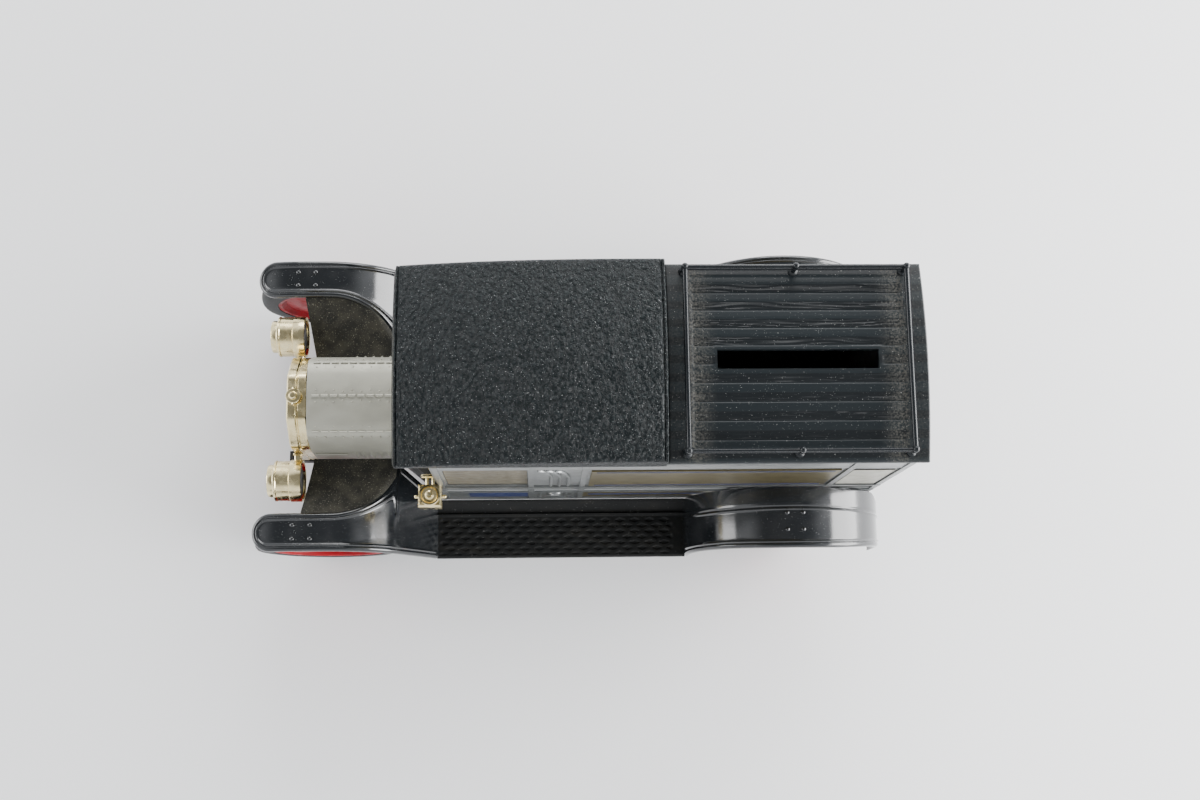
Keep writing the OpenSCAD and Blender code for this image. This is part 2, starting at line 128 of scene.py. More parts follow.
def mirror_y(verts):
    """The same points on the other side of the van."""
    return [(v[0], -v[1], v[2]) for v in verts]


def on_both_sides(name, verts, faces, mat, slot, nodes_to_replace=None, **extra):
    """The same piece on the left and mirrored on the right."""
    for side in ("left", "right"):
        points = verts if side == "left" else mirror_y(verts)
        stands_for = (f"{nodes_to_replace}_{side}",) if nodes_to_replace else ()
        add_piece(f"{name}_{side}", points, faces, mat, slot, replaces=stands_for, **extra)


def join(parts):
    """Several (verts, faces) lists as one."""
    verts, faces = [], []
    for part_verts, part_faces in parts:
        start = len(verts)
        verts += [tuple(v) for v in part_verts]
        faces += [tuple(i + start for i in f) for f in part_faces]
    return verts, faces


def grid_faces(rows, cols, start=0, closed=False):
    """Quads over a grid of points numbered row by row."""
    faces = []
    wrap = cols if closed else cols - 1
    for r in range(rows - 1):
        for c in range(wrap):
            d = (c + 1) % cols
            a = start + r * cols
            faces.append((a + c, a + d, a + cols + d, a + cols + c))
    return faces


def slab(top, bottom, inner_wall=True):
    """A closed solid from two matching grids of points; its last column may stay without a wall."""
    rows, cols = top.shape[:2]
    verts = [tuple(p) for p in top.reshape(-1, 3)] + [tuple(p) for p in bottom.reshape(-1, 3)]
    n = rows * cols
    faces = grid_faces(rows, cols) + [f[::-1] for f in grid_faces(rows, cols, n)]
    edge = list(range(cols))
    edge += [r * cols + cols - 1 for r in range(1, rows)]
    edge += [(rows - 1) * cols + c for c in range(cols - 2, -1, -1)]
    edge += [r * cols for r in range(rows - 2, 0, -1)]
    for i, a in enumerate(edge):
        b = edge[(i + 1) % len(edge)]
        if inner_wall or a % cols != cols - 1 or b % cols != cols - 1:
            faces.append((a, a + n, b + n, b))
    return verts, faces


def lathe(profile, segments, axis, centre):
    """A solid turned round an axis from (along, radius) points, on the axis at both ends or a closed loop."""
    verts = []
    for along, radius in profile:
        for i in range(segments):
            a = 2 * math.pi * i / segments
            u, v = radius * math.cos(a), radius * math.sin(a)
            p = {"x": (along, u, v), "y": (u, along, v), "z": (u, v, along)}[axis]
            verts.append(tuple(np.array(p) + centre))
    return verts, grid_faces(len(profile), segments, closed=True)


def loft(rings, cap=True):
    """A solid through matching closed rings of points."""
    verts = [tuple(p) for ring in rings for p in ring]
    n = len(rings[0])
    faces = grid_faces(len(rings), n, closed=True)
    if cap:
        faces.append(tuple(range(n))[::-1])
        faces.append(tuple(len(verts) - n + i for i in range(n)))
    return verts, faces


def block(low, high, c):
    """A box with its edges chamfered by c."""
    x0, y0, z0 = low
    x1, y1, z1 = high

    def ring(z, k):
        return [(x0 + c + k, y0 + k, z), (x1 - c - k, y0 + k, z), (x1 - k, y0 + c + k, z),
                (x1 - k, y1 - c - k, z), (x1 - c - k, y1 - k, z), (x0 + c + k, y1 - k, z),
                (x0 + k, y1 - c - k, z), (x0 + k, y0 + c + k, z)]

    return loft([ring(z0, c), ring(z0 + c, 0), ring(z1 - c, 0), ring(z1, c)])


def tube(points, radius, sides=10):
    """A round bar along a path, with flat ends."""
    pts = [Vector(p) for p in points]
    rings = []
    side = None
    for i, p in enumerate(pts):
        ahead = pts[min(i + 1, len(pts) - 1)] - pts[max(i - 1, 0)]
        ahead.normalize()
        if side is None:
            side = ahead.orthogonal().normalized()
        side = (side - ahead * side.dot(ahead)).normalized()
        up = ahead.cross(side)
        rings.append([tuple(p + radius * (math.cos(a) * side + math.sin(a) * up))
                      for a in (2 * math.pi * k / sides for k in range(sides))])
    return loft(rings)


def dome(centre, radius, height, sides=14, rows=4):
    """A rivet head standing up from its centre."""
    profile = [(-0.3, 0.0), (-0.3, radius)]
    profile += [(height * math.sin(a), radius * math.cos(a)) for a in np.linspace(0, math.pi / 2, rows + 1)]
    return lathe(profile, sides, "z", np.array(centre))


def ball(centre, radius, sides=16, rows=10):
    """A round ball."""
    profile = [(-radius * math.cos(a), radius * math.sin(a)) for a in np.linspace(0, math.pi, rows + 1)]
    return lathe(profile, sides, "z", np.array(centre))


def smooth(x, low, high):
    """Zero below low, one above high, and an even curve between."""
    t = np.clip((x - low) / (high - low), 0, 1)
    return t * t * (3 - 2 * t)


def rounded(t):
    """Depth of a quarter-round edge: one at t = 0 and zero from t = 1 on."""
    return 1 - np.sqrt(np.clip(1 - (1 - np.clip(t, 0, 1)) ** 2, 0, 1))


def ridge(d, at, width):
    """A rounded ridge one high at one distance."""
    return np.exp(-((d - at) / width) ** 2)


# ---------------------------------------------------------------- materials
class Shader:
    """One principled material whose colour, roughness and bump come from object-space noise in mm."""

    def __init__(self, name, color, roughness, metallic=0.0, coat=0.0, specular=0.5):
        self.mat = bpy.data.materials.new(name)
        self.mat.use_nodes = True
        self.tree = self.mat.node_tree
        self.bsdf = self.tree.nodes["Principled BSDF"]
        self.bsdf.inputs["Base Color"].default_value = (*color, 1)
        self.bsdf.inputs["Roughness"].default_value = roughness
        self.bsdf.inputs["Metallic"].default_value = metallic
        self.bsdf.inputs["Coat Weight"].default_value = coat
        self.bsdf.inputs["Coat Roughness"].default_value = 0.12
        self.bsdf.inputs["Specular IOR Level"].default_value = specular
        self.color = color
        self.rough = roughness
        self.coords = self.add("ShaderNodeTexCoord").outputs["Object"]
        self.color_out = None
        self.rough_out = None
        self.height_out = None

    def add(self, kind, **settings):
        node = self.tree.nodes.new(kind)
        for key, value in settings.items():
            setattr(node, key, value)
        return node

    def link(self, out, socket):
        self.tree.links.new(out, socket)

    def scaled(self, scale):
        """Object coordinates in cycles per mm along each axis."""
        node = self.add("ShaderNodeMapping")
        node.inputs["Scale"].default_value = tuple(1000 * s for s in scale)
        self.link(self.coords, node.inputs["Vector"])
        return node.outputs["Vector"]

    def noise(self, scale, detail=3, distortion=0.0):
        """Cloudy noise with its middle at one half."""
        node = self.add("ShaderNodeTexNoise")
        node.inputs["Scale"].default_value = 1
        node.inputs["Detail"].default_value = detail
        node.inputs["Distortion"].default_value = distortion
        self.link(self.scaled(scale), node.inputs["Vector"])
        return node.outputs["Fac"]

    def cells(self, scale, feature="F1"):
        """Distance to the middle of the nearest irregular cell."""
        node = self.add("ShaderNodeTexVoronoi", feature=feature)
        node.inputs["Scale"].default_value = 1
        self.link(self.scaled(scale), node.inputs["Vector"])
        return node.outputs["Distance"]

    def ramp(self, value, low, high, to_low=0.0, to_high=1.0):
        """Smoothly maps a value from one range to another."""
        node = self.add("ShaderNodeMapRange", interpolation_type="SMOOTHSTEP")
        for key, number in (("From Min", low), ("From Max", high), ("To Min", to_low), ("To Max", to_high)):
            node.inputs[key].default_value = number
        self.link(value, node.inputs["Value"])
        return node.outputs["Result"]

    def math(self, operation, a, b=0.0):
        node = self.add("ShaderNodeMath", operation=operation)
        for socket, value in zip(node.inputs, (a, b)):
            if isinstance(value, (int, float)):
                socket.default_value = value
            else:
                self.link(value, socket)
        return node.outputs[0]

    def tint(self, mask, color):
        """Mixes another colour in where the mask is one."""
        node = self.add("ShaderNodeMix", data_type="RGBA")
        self.link(mask, node.inputs[0])
        if self.color_out is None:
            node.inputs[6].default_value = (*self.color, 1)
        else:
            self.link(self.color_out, node.inputs[6])
        node.inputs[7].default_value = (*color, 1)
        self.color_out = node.outputs[2]
        return self

    def roughen(self, mask, value):
        """Mixes another roughness in where the mask is one."""
        node = self.add("ShaderNodeMix", data_type="FLOAT")
        self.link(mask, node.inputs[0])
        if self.rough_out is None:
            node.inputs[2].default_value = self.rough
        else:
            self.link(self.rough_out, node.inputs[2])
        node.inputs[3].default_value = value
        self.rough_out = node.outputs[0]
        return self

    def raise_by(self, height, amount):
        """Adds a height in mm to the bump."""
        scaled = self.math("MULTIPLY", height, amount)
        self.height_out = scaled if self.height_out is None else self.math("ADD", self.height_out, scaled)
        return self

    def axis(self, name):
        """One object coordinate in mm."""
        split = self.add("ShaderNodeSeparateXYZ")
        self.link(self.scaled((1, 1, 1)), split.inputs[0])
        return split.outputs[name]

    def done(self):
        """Connects what was gathered and returns the material."""
        if self.color_out is not None:
            self.link(self.color_out, self.bsdf.inputs["Base Color"])
        if self.rough_out is not None:
            self.link(self.rough_out, self.bsdf.inputs["Roughness"])
        if self.height_out is not None:
            bump = self.add("ShaderNodeBump")
            bump.inputs["Strength"].default_value = 1
            bump.inputs["Distance"].default_value = MM
            self.link(self.height_out, bump.inputs["Height"])
            self.link(bump.outputs["Normal"], self.bsdf.inputs["Normal"])
        return self.mat


PALE_DUST = (0.42, 0.42, 0.40)


def dust_and_glint_specks(s, density, color=PALE_DUST, size=0.35):
    """Fine pale specks: dust on most finishes, and painted highlights (small glints of light) on the leather.
    """
    specks = s.ramp(s.noise((1 / size,) * 3, detail=1), density, density + 0.05)
    return s.tint(specks, color).roughen(specks, 0.9)


def leather_black():
    s = Shader("leather_black", (0.0035, 0.006, 0.0068), 0.28, specular=0.2)
    pebble = s.cells((1.25, 1.05, 1.1), feature="SMOOTH_F1")
    fine = s.cells((2.7, 2.4, 2.6), feature="F1")
    crease = s.noise((0.55, 0.4, 0.45), detail=4, distortion=1.8)
    fold = s.math("ABSOLUTE", s.math("SUBTRACT", crease, 0.5))
    s.raise_by(pebble, -0.4).raise_by(fine, -0.13).raise_by(s.ramp(fold, 0.0, 0.035), 0.13)
    s.raise_by(s.noise((5, 5, 5), detail=2), 0.06)
    # painted light and shade: each raised pebble is coloured lighter in its middle and darker in the creases
    # between
    s.tint(s.ramp(pebble, 0.2, 0.5, 1, 0), (0.012, 0.016, 0.017))
    # the pale specks here are painted highlights, glints of light off the pebbled grain, not dust
    return dust_and_glint_specks(s, 0.705, color=(0.3, 0.31, 0.31), size=0.25).done()


def plank_black():
    s = Shader("plank_black", (0.008, 0.0115, 0.0135), 0.42, specular=0.27)
    s.raise_by(s.noise((0.06, 2.2, 1.0), detail=4, distortion=0.6), 0.03)
    s.raise_by(s.noise((3, 3, 3), detail=2), 0.02)
    from_slot = s.math("ABSOLUTE", s.math("ADD", s.axis("X"), -SLOT_X))
    past_panel = s.ramp(from_slot, 25.3, 26.0, 1, 0.2)
    ends = s.math("MULTIPLY", s.ramp(from_slot, 18.5, 24.5), past_panel)
    beside_band = s.math("PINGPONG", s.axis("Y"), PLANK_PITCH / 2)
    s.tint(s.ramp(beside_band, 0.85, 1.1, 0.7, 0), (0.002, 0.003, 0.004))
    film = s.math("MULTIPLY", ends, s.ramp(s.noise((2.2, 2.2, 2.2), detail=6), 0.34, 0.76))
    s.tint(s.math("MULTIPLY", film, 0.7), (0.11, 0.105, 0.09)).roughen(film, 0.85)
    return dust_and_glint_specks(s, 0.735, size=0.22).done()


def gloss_black():
    s = Shader("gloss_black", (0.006, 0.0075, 0.009), 0.12, coat=0.6)
    haze = s.ramp(s.noise((0.2, 0.2, 0.2), detail=5), 0.4, 0.75)
    s.roughen(haze, 0.2).tint(s.math("MULTIPLY", haze, 0.5), (0.02, 0.021, 0.022))
    s.raise_by(s.noise((2.2, 2.2, 2.2), detail=2), 0.012)
    return dust_and_glint_specks(s, 0.75, size=0.2).done()


def matte_black():
    s = Shader("matte_black", (0.022, 0.0215, 0.018), 0.78, specular=0.3)
    s.raise_by(s.noise((4.5, 4.5, 4.5), detail=3), 0.07)
    s.tint(s.ramp(s.noise((0.3, 0.3, 0.3), detail=6), 0.36, 0.7, 0, 0.7), (0.062, 0.058, 0.044))
    return dust_and_glint_specks(s, 0.66, color=(0.2, 0.19, 0.15), size=0.3).done()


def tread_black():
    s = Shader("tread_black", (0.007, 0.0075, 0.0072), 0.5, specular=0.22)
    s.raise_by(s.noise((4, 4, 4), detail=3), 0.03)
    s.tint(s.ramp(s.noise((0.15, 0.4, 0.3), detail=6), 0.45, 0.8, 0, 0.35), (0.028, 0.026, 0.021))
    return dust_and_glint_specks(s, 0.75, size=0.22).done()


def hood_silver():
    s = Shader("hood_silver", (0.43, 0.423, 0.357), 0.42, metallic=0.4)
    s.raise_by(s.noise((3, 3, 3), detail=3), 0.012)
    s.tint(s.ramp(s.noise((0.12, 0.25, 0.2), detail=4), 0.4, 0.7, 0, 0.35), (0.33, 0.322, 0.265))
    s.roughen(s.ramp(s.noise((0.3, 0.3, 0.3), detail=3), 0.4, 0.7), 0.55)
    return dust_and_glint_specks(s, 0.745, color=(0.22, 0.21, 0.17), size=0.22).done()


def body_silver():
    s = Shader("body_silver", (0.27, 0.28, 0.28), 0.36, metallic=0.92)
    s.tint(s.ramp(s.noise((0.1, 0.3, 0.25), detail=5), 0.4, 0.75, 0, 0.5), (0.20, 0.20, 0.185))
    s.roughen(s.ramp(s.noise((0.2, 0.3, 0.3), detail=4), 0.4, 0.7), 0.44)
    return s.done()


def gold_plate():
    s = Shader("gold_plate", (0.84, 0.72, 0.42), 0.15, metallic=1)
    s.raise_by(s.noise((0.9, 0.9, 0.9), detail=2), 0.005)
    s.tint(s.ramp(s.noise((0.35, 0.35, 0.35), detail=5), 0.46, 0.78, 0, 0.6), (0.52, 0.41, 0.19))
    s.roughen(s.ramp(s.noise((0.5, 0.5, 0.5), detail=4), 0.4, 0.7), 0.34)
    return s.done()


def grille_gold():
    s = Shader("grille_gold", (0.50, 0.40, 0.20), 0.3, metallic=1)
    s.tint(s.ramp(s.noise((0.6, 0.6, 0.6), detail=4), 0.4, 0.7), (0.22, 0.17, 0.08))
    s.raise_by(s.cells((1.4, 1.4, 1.4), feature="F1"), 0.2)
    return s.done()


def label_gold():
    s = Shader("label_gold", (0.15, 0.125, 0.062), 0.34, metallic=0.7)
    s.tint(s.ramp(s.noise((0.25, 0.25, 0.6), detail=5), 0.4, 0.7, 0, 0.7), (0.08, 0.066, 0.036))
    return s.done()


def plain(name, color, rough, metallic=0.0, darker=0.7, grain=0.02, **extra):
    """A simple moulded or metal finish with slight wear in colour, roughness and surface."""
    s = Shader(name, color, rough, metallic, **extra)
    s.tint(s.ramp(s.noise((0.3, 0.3, 0.3), detail=4), 0.4, 0.75), tuple(c * darker for c in color))
    s.roughen(s.ramp(s.noise((0.4, 0.4, 0.4), detail=4), 0.4, 0.7), min(1, rough * 1.5))
    s.raise_by(s.noise((2, 2, 2), detail=3), grain)
    return s.done()


def tyre_black():
    s = Shader("tyre_black", (0.014, 0.0155, 0.017), 0.5, specular=0.25)
    s.tint(s.ramp(s.noise((0.4, 0.4, 0.4), detail=5), 0.45, 0.75, 0, 0.6), (0.035, 0.036, 0.036))
    s.raise_by(s.noise((3, 3, 3), detail=3), 0.03)
    return s.done()


def clear_screen():
    s = Shader("clear_screen", (0.9, 0.93, 0.93), 0.06)
    s.bsdf.inputs["Transmission Weight"].default_value = 0.95
    s.bsdf.inputs["IOR"].default_value = 1.45
    s.roughen(s.ramp(s.noise((0.2, 0.2, 0.2), detail=4), 0.5, 0.8), 0.2)
    return s.done()


LEATHER = leather_black()
PLANK = plank_black()
GLOSS = gloss_black()
MATTE = matte_black()
TREAD = tread_black()
HOOD = hood_silver()
SILVER = body_silver()
GOLD = gold_plate()
GRILLE = grille_gold()
LABEL = label_gold()
RED = plain("wheel_red", (0.34, 0.0, 0.007), 0.34, darker=0.7, specular=0.22)
CREAM = plain("cream_panel", (0.15, 0.13, 0.088), 0.35, metallic=0.35, darker=0.75, grain=0.004)
PALE = plain("pale_panel", (0.36, 0.35, 0.30), 0.4, metallic=0.2, darker=0.85, grain=0.004)
NAVY = plain("navy_band", (0.02, 0.03, 0.09), 0.35)
STEEL = plain("bare_steel", (0.50, 0.50, 0.49), 0.32, metallic=1)
BLACK = plain("moulded_black", (0.018, 0.018, 0.018), 0.5)
RAIL = plain("rail_black", (0.007, 0.009, 0.011), 0.25, coat=0.05, specular=0.3)
# painted shade: the dark colour of the hollow inside the lamp drums
LAMP_HOLLOW_SHADE = plain("lamp_hollow_shade", (0.03, 0.03, 0.025), 0.4, metallic=0.5)
TYRE = tyre_black()
SCREEN = clear_screen()


# ------------------------------------------------------------------- pieces
def crown(y):
    """Rise of both roofs above the eave at y."""
    return CROWN * (1 - (y / ROOF_Y) ** 2)


def make_cargo_roof():
    """Crowned roof with a plank panel, wood grain cut in every other plank, and the coin slot."""
    x0, x1 = CARGO_LOW[0], CARGO_HIGH[0]
    panel_x0, panel_x1 = -77.8, -27.2
    panel_y = 4.7 * PLANK_PITCH
    slot_x0, slot_x1 = SLOT_X - SLOT_L / 2, SLOT_X + SLOT_L / 2
    step = 0.42
    xs = np.unique(np.round(np.concatenate([
        np.arange(x0, x1, step), [x1, slot_x0, slot_x1], x0 + np.array([0.12, 0.3]),
        x1 - np.array([0.12, 0.3])]), 3))
    fine = np.arange(-panel_y - 0.6, panel_y + 0.61, 0.22)
    ys = np.unique(np.round(np.concatenate([
        fine, np.linspace(-ROOF_Y, -panel_y - 0.6, 9), np.linspace(panel_y + 0.6, ROOF_Y, 9),
        [-SLOT_W / 2, SLOT_W / 2, -ROOF_Y + 0.12, ROOF_Y - 0.12]]), 3))
    gx, gy = np.meshgrid(xs, ys, indexing="ij")
    z = CARGO_EAVE + crown(gy)
    phase = (((gy / PLANK_PITCH + 0.5) % 1) - 0.5) * PLANK_PITCH
    in_panel = smooth(gx, panel_x0, panel_x0 + 0.8) * (1 - smooth(gx, panel_x1 - 0.8, panel_x1))
    in_panel = in_panel * (1 - smooth(np.abs(gy), panel_y - 0.3, panel_y + 0.3))
    beside_slot = smooth(np.maximum(np.abs(gx - SLOT_X) - SLOT_L / 2, np.abs(gy) - SLOT_W / 2), 0.8, 1.1)
    grained = (1 - smooth(np.abs(phase), 0.85, 1.05)) * in_panel * beside_slot
    wave = np.zeros_like(z)
    for i in range(gx.shape[0]):
        for j in range(gx.shape[1]):
            if grained[i, j] > 0.01:
                bend = noise.noise((gx[i, j] * 0.10, gy[i, j] * 0.5, 1.7))
                wave[i, j] = noise.noise((gx[i, j] * 0.09, gy[i, j] * 2.6 + 2.2 * bend, 5.0))
    groove = (ridge(phase, 1.15, 0.17) + 0.25 * ridge(phase, -1.15, 0.15)) * in_panel * beside_slot
    z = z - 0.22 * in_panel - 0.12 * grained + 0.22 * wave * grained - 0.3 * groove
    rim = np.minimum(np.minimum(gx - x0, x1 - gx), ROOF_Y - np.abs(gy))
    z = z - 0.35 * (1 - smooth(rim, 0, 0.35))
    rows, cols = z.shape
    hole = {(i, j) for i in range(rows - 1) for j in range(cols - 1)
            if slot_x0 <= (xs[i] + xs[i + 1]) / 2 <= slot_x1 and abs(ys[j] + ys[j + 1]) < SLOT_W}
    under = CARGO_EAVE + crown(gy) - 1.8
    verts = [(gx[i, j], gy[i, j], z[i, j]) for i in range(rows) for j in range(cols)]
    verts += [(gx[i, j], gy[i, j], under[i, j]) for i in range(rows) for j in range(cols)]
    n = rows * cols
    faces = []
    for i in range(rows - 1):
        for j in range(cols - 1):
            if (i, j) in hole:
                continue
            q = (i * cols + j, (i + 1) * cols + j, (i + 1) * cols + j + 1, i * cols + j + 1)
            faces.append(q)
            faces.append(tuple(k + n for k in q)[::-1])
            sides = ((-1, 0, q[3], q[0]), (1, 0, q[1], q[2]), (0, -1, q[0], q[1]), (0, 1, q[2], q[3]))
            for di, dj, a, b in sides:
                near = (i + di, j + dj)
                outside = not (0 <= near[0] < rows - 1 and 0 <= near[1] < cols - 1)
                if outside or near in hole:
                    faces.append((b, a, a + n, b + n))
    add_piece("plank_roof", verts, faces, PLANK, "black_moulding", replaces=("cargo_roof",), angle=50)


def make_cab_roof():
    """Padded cab top with rounded edges, a groove near each end and a slanted front lip."""
    x0, x1 = CAB_LOW[0], CAB_HIGH[0] + 0.1
    xs = np.unique(np.concatenate([
        x0 + np.array([0, 0.1, 0.25, 0.45, 0.7, 0.85, 1.0, 1.2]), np.linspace(x0 + 2, VISOR_X - 2, 70),
        VISOR_X + np.array([-1.2, -0.9, -0.7, -0.5, -0.35, -0.2, 0, 0.15, 0.3, 0.45]), [x1]]))
    half = np.concatenate([[0, 0.1, 0.25, 0.45, 0.7, 1.0, 1.4, 1.9], np.linspace(3, CAB_Y, 24)])
    ys = np.unique(np.concatenate([-CAB_Y + half, CAB_Y - half]))
    gx, gy = np.meshgrid(xs, ys, indexing="ij")
    lip = np.clip((gx - VISOR_X) / (x1 - VISOR_X), 0, 1)
    along = np.clip((gx - x0) / (VISOR_X - x0), 0, 1)
    z = CAB_EAVE - VISOR_DROP * along ** 2.5 + crown(gy)
    side = CAB_Y - np.abs(gy)
    z = z - 0.75 * rounded(side / 1.1)
    rear = gx - x0
    z = z - 0.4 * rounded(rear / 0.5)
    z = z - 0.32 * ridge(rear, 0.85, 0.16) - 0.4 * ridge(gx, VISOR_X - 0.55, 0.16)
    z = z - 2.0 * lip
    gy = gy * (1 - 0.045 * lip)
    under = np.full_like(z, CAB_LOW[2] + 1.6) - 1.2 * lip
    top = np.stack([gx, gy, z], axis=-1)
    bottom = np.stack([gx, gy, np.minimum(under, z - 0.25)], axis=-1)
    verts, faces = slab(top, bottom)
    add_piece("padded_cab_top", verts, faces, LEATHER, "leather_top", replaces=("cab_roof",), angle=50)


def make_rail():
    """Rail round the cargo roof: posts with balls, two bars along each side and one across each end."""
    low, high = mm_box("luggage_rail")
    parts = []
    ball_r = 0.8
    post_y = high[1] - ball_r
    ball_z = high[2] - ball_r
    xs = (low[0] + ball_r, (low[0] + high[0]) / 2, high[0] - ball_r)
    roof_z = CARGO_EAVE + crown(post_y)
    for y in (-post_y, post_y):
        for x in xs:
            profile = [(roof_z - 0.5, 0), (roof_z - 0.5, 1.15), (roof_z + 0.1, 1.15), (roof_z + 0.5, 1.1),
                       (roof_z + 0.8, 0.62), (ball_z - 1.3, 0.55), (ball_z - 1.2, 0.85), (ball_z - 0.9, 0.85),
                       (ball_z - 0.75, 0.5), (ball_z - 0.6, 0.5)]
            profile += [(ball_z - ball_r * math.cos(a), ball_r * math.sin(a))
                        for a in np.linspace(0.75, math.pi, 9)]
            parts.append(lathe(profile, 20, "z", np.array([x, y, 0])))
        for z, r in ((ball_z - 0.4, 0.38), (ball_z - 2.6, 0.3)):
            parts.append(tube([(xs[0], y, z), (xs[2], y, z)], r, 12))
    for x in (xs[0], xs[2]):
        parts.append(tube([(x, -post_y, ball_z - 0.4), (x, post_y, ball_z - 0.4)], 0.62, 14))
    verts, faces = join(parts)
    add_piece("roof_rail", verts, faces, RAIL, "black_moulding", replaces=("luggage_rail",), angle=45)


def fender_z(x):
    """Height of a front fender's top line."""
    x = np.asarray(x, dtype=float)
    nose = FENDER_TOP - NOSE_R + np.sqrt(np.clip(NOSE_R ** 2 - (x - NOSE_X) ** 2, 0, None))
    arch = AXLE_Z + np.sqrt(np.clip(FENDER_R ** 2 - (x - ARCH_X) ** 2, 0, None))
    turn_x = ARCH_X + FENDER_R * math.cos(TAIL_ANGLE)
    turn_z = AXLE_Z + FENDER_R * math.sin(TAIL_ANGLE)
    slope = -1 / math.tan(TAIL_ANGLE)
    tail = turn_z + (x - turn_x) * slope
    z = np.where(x > NOSE_X, nose, FENDER_TOP)
    z = np.where(x < ARCH_X, arch, z)
    return np.where(x < turn_x, tail, z)


def fender_inner_y(x):
    """Inner edge of a front fender in plan: straight beside the wheel, then sweeping in."""
    centre, rx, ry = ARCH_X - 1.5, 17.5, 14.46
    t = np.clip((centre - x) / rx, 0, 1)
    sweep = FENDER_IN - ry * (1 - np.sqrt(1 - t ** 2))
    beside_cowl, beside_body = COWL_END_Y + 1.2, BODY_Y + 0.2
    cowl = beside_cowl + (COWL_END - x) * (beside_body - beside_cowl) / (COWL_END - BODY_FRONT)
    return np.where(x < centre - rx, np.clip(cowl, beside_cowl, beside_body), sweep)


def edge_relief(d):
    """Height of a fender's rolled rim, groove and bead at distance d from its edge."""
    rim = -0.85 * rounded(d / 0.9)
    return rim - 0.16 * ridge(d, 1.25, 0.16) + 0.26 * ridge(d, 1.65, 0.2) - 0.1 * smooth(d, 1.8, 2.1)


def make_front_fenders():
    """Sweeping mudguards with a rolled edge, a bead and four rivets near the nose."""
    tip_r = (FENDER_OUT - FENDER_IN) / 2
    tip_cx, tip_cy = TIP_X - tip_r, FENDER_OUT - tip_r
    xs = np.concatenate([np.linspace(TAIL_X, 44, 22)[:-1], np.linspace(44, tip_cx, 90)])
    outer = [((x, FENDER_OUT), (x, (FENDER_OUT + float(fender_inner_y(x))) / 2)) for x in xs]
    nose = [((tip_cx + tip_r * math.sin(a), tip_cy + tip_r * math.cos(a)), (tip_cx, tip_cy))
            for a in np.linspace(0, math.pi, 37)[1:-1]]
    inner = [((x, float(fender_inner_y(x))), (x, (FENDER_OUT + float(fender_inner_y(x))) / 2))
             for x in xs[::-1]]
    insets = [0, 0.06, 0.15, 0.3, 0.5, 0.75, 1.0, 1.15, 1.25, 1.35, 1.5, 1.6, 1.7, 1.85, 2.0, 2.3]
    fractions = [0.3, 0.6, 1.0]
    top, bottom = [], []
    for (bx, by), (cx, cy) in outer + nose + inner:
        span = math.hypot(cx - bx, cy - by)
        slope = abs(float(fender_inner_y(bx + 0.2)) - float(fender_inner_y(bx - 0.2))) / 0.4
        lean = 1 / math.sqrt(1 + slope ** 2) if by < cy and bx < tip_cx - 1 else 1
        reach = insets[-1] / lean
        dist = [min(i / lean, span * i / insets[-1]) for i in insets]
        dist += [reach + (span - reach) * f for f in fractions]
        row_top, row_bottom = [], []
        for d in dist:
            k = d / span if span > 0 else 0
            x, y = bx + (cx - bx) * k, by + (cy - by) * k
            rise = (fender_z(x + 0.05) - fender_z(x - 0.05)) / 0.1
            normal = np.array([-rise, 0, 1.0]) / math.sqrt(1 + rise ** 2)
            base = np.array([x, y, float(fender_z(x))])
            row_top.append(base + normal * (float(edge_relief(d * lean)) - 0.02))
            row_bottom.append(base - normal * 1.15)
        top.append(row_top)
        bottom.append(row_bottom)
    heads = [dome((NOSE_X - 2.4 + dx, tip_cy + dy, FENDER_TOP - 0.12), 0.62, 0.42)
             for dx in (-2.3, 2.3) for dy in (-1.8, 1.8)]
    verts, faces = join([slab(np.array(top), np.array(bottom), inner_wall=False)] + heads)
    on_both_sides("front_mudguard", verts, faces, GLOSS, "gloss_black", "front_fender", angle=60)


